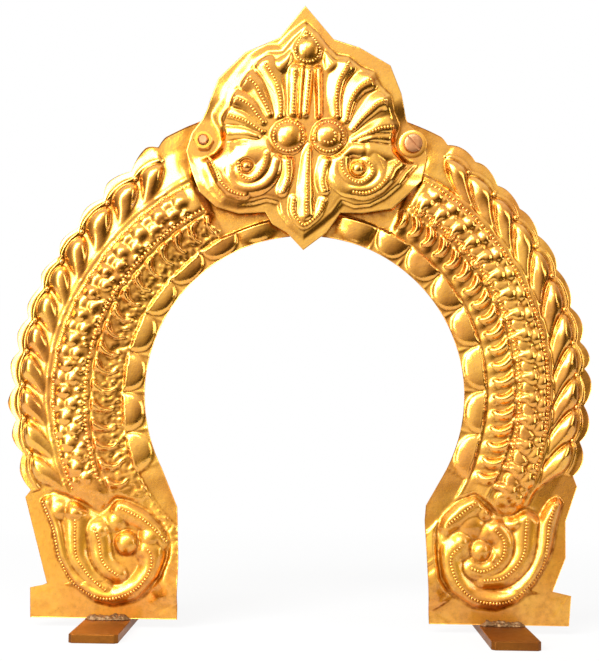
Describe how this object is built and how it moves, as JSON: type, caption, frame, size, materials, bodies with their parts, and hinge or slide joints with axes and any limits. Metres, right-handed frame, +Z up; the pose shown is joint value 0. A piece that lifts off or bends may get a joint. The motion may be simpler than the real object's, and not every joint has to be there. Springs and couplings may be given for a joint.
{
  "type": "deity aureole",
  "caption": "Beaten brass arch on flat bar feet that stands behind a temple image, with a palmette crest screwed over its top and volutes on its legs.",
  "frame": {"origin": "on the table, in the middle of the arch's overall width and of the length of the feet", "axes": "+X to the right, the worked face of the sheet looks along -Y, +Z up"},
  "size_m": [0.3544, 0.112, 0.381],
  "materials": {
    "beaten_brass": "polished and lightly tarnished repousse sheet",
    "bar_brass": "mill finish flat bar, browned",
    "solder": "rough grey soft solder",
    "copper_screw": "dull copper-brown",
    "hardware_brass": "turned and filed"
  },
  "bodies": {
    "root": {"crest_plate": "beaten_brass", "arch_left": "beaten_brass", "arch_right": "beaten_brass", "foot_bar_left": "bar_brass", "foot_bar_right": "bar_brass", "solder_seam_left": "solder", "solder_seam_right": "solder", "screw_left": "copper_screw", "screw_right": "copper_screw", "nut_left": "hardware_brass", "nut_right": "hardware_brass", "washer_left": "hardware_brass", "washer_right": "hardware_brass"}
  },
  "joints": []
}
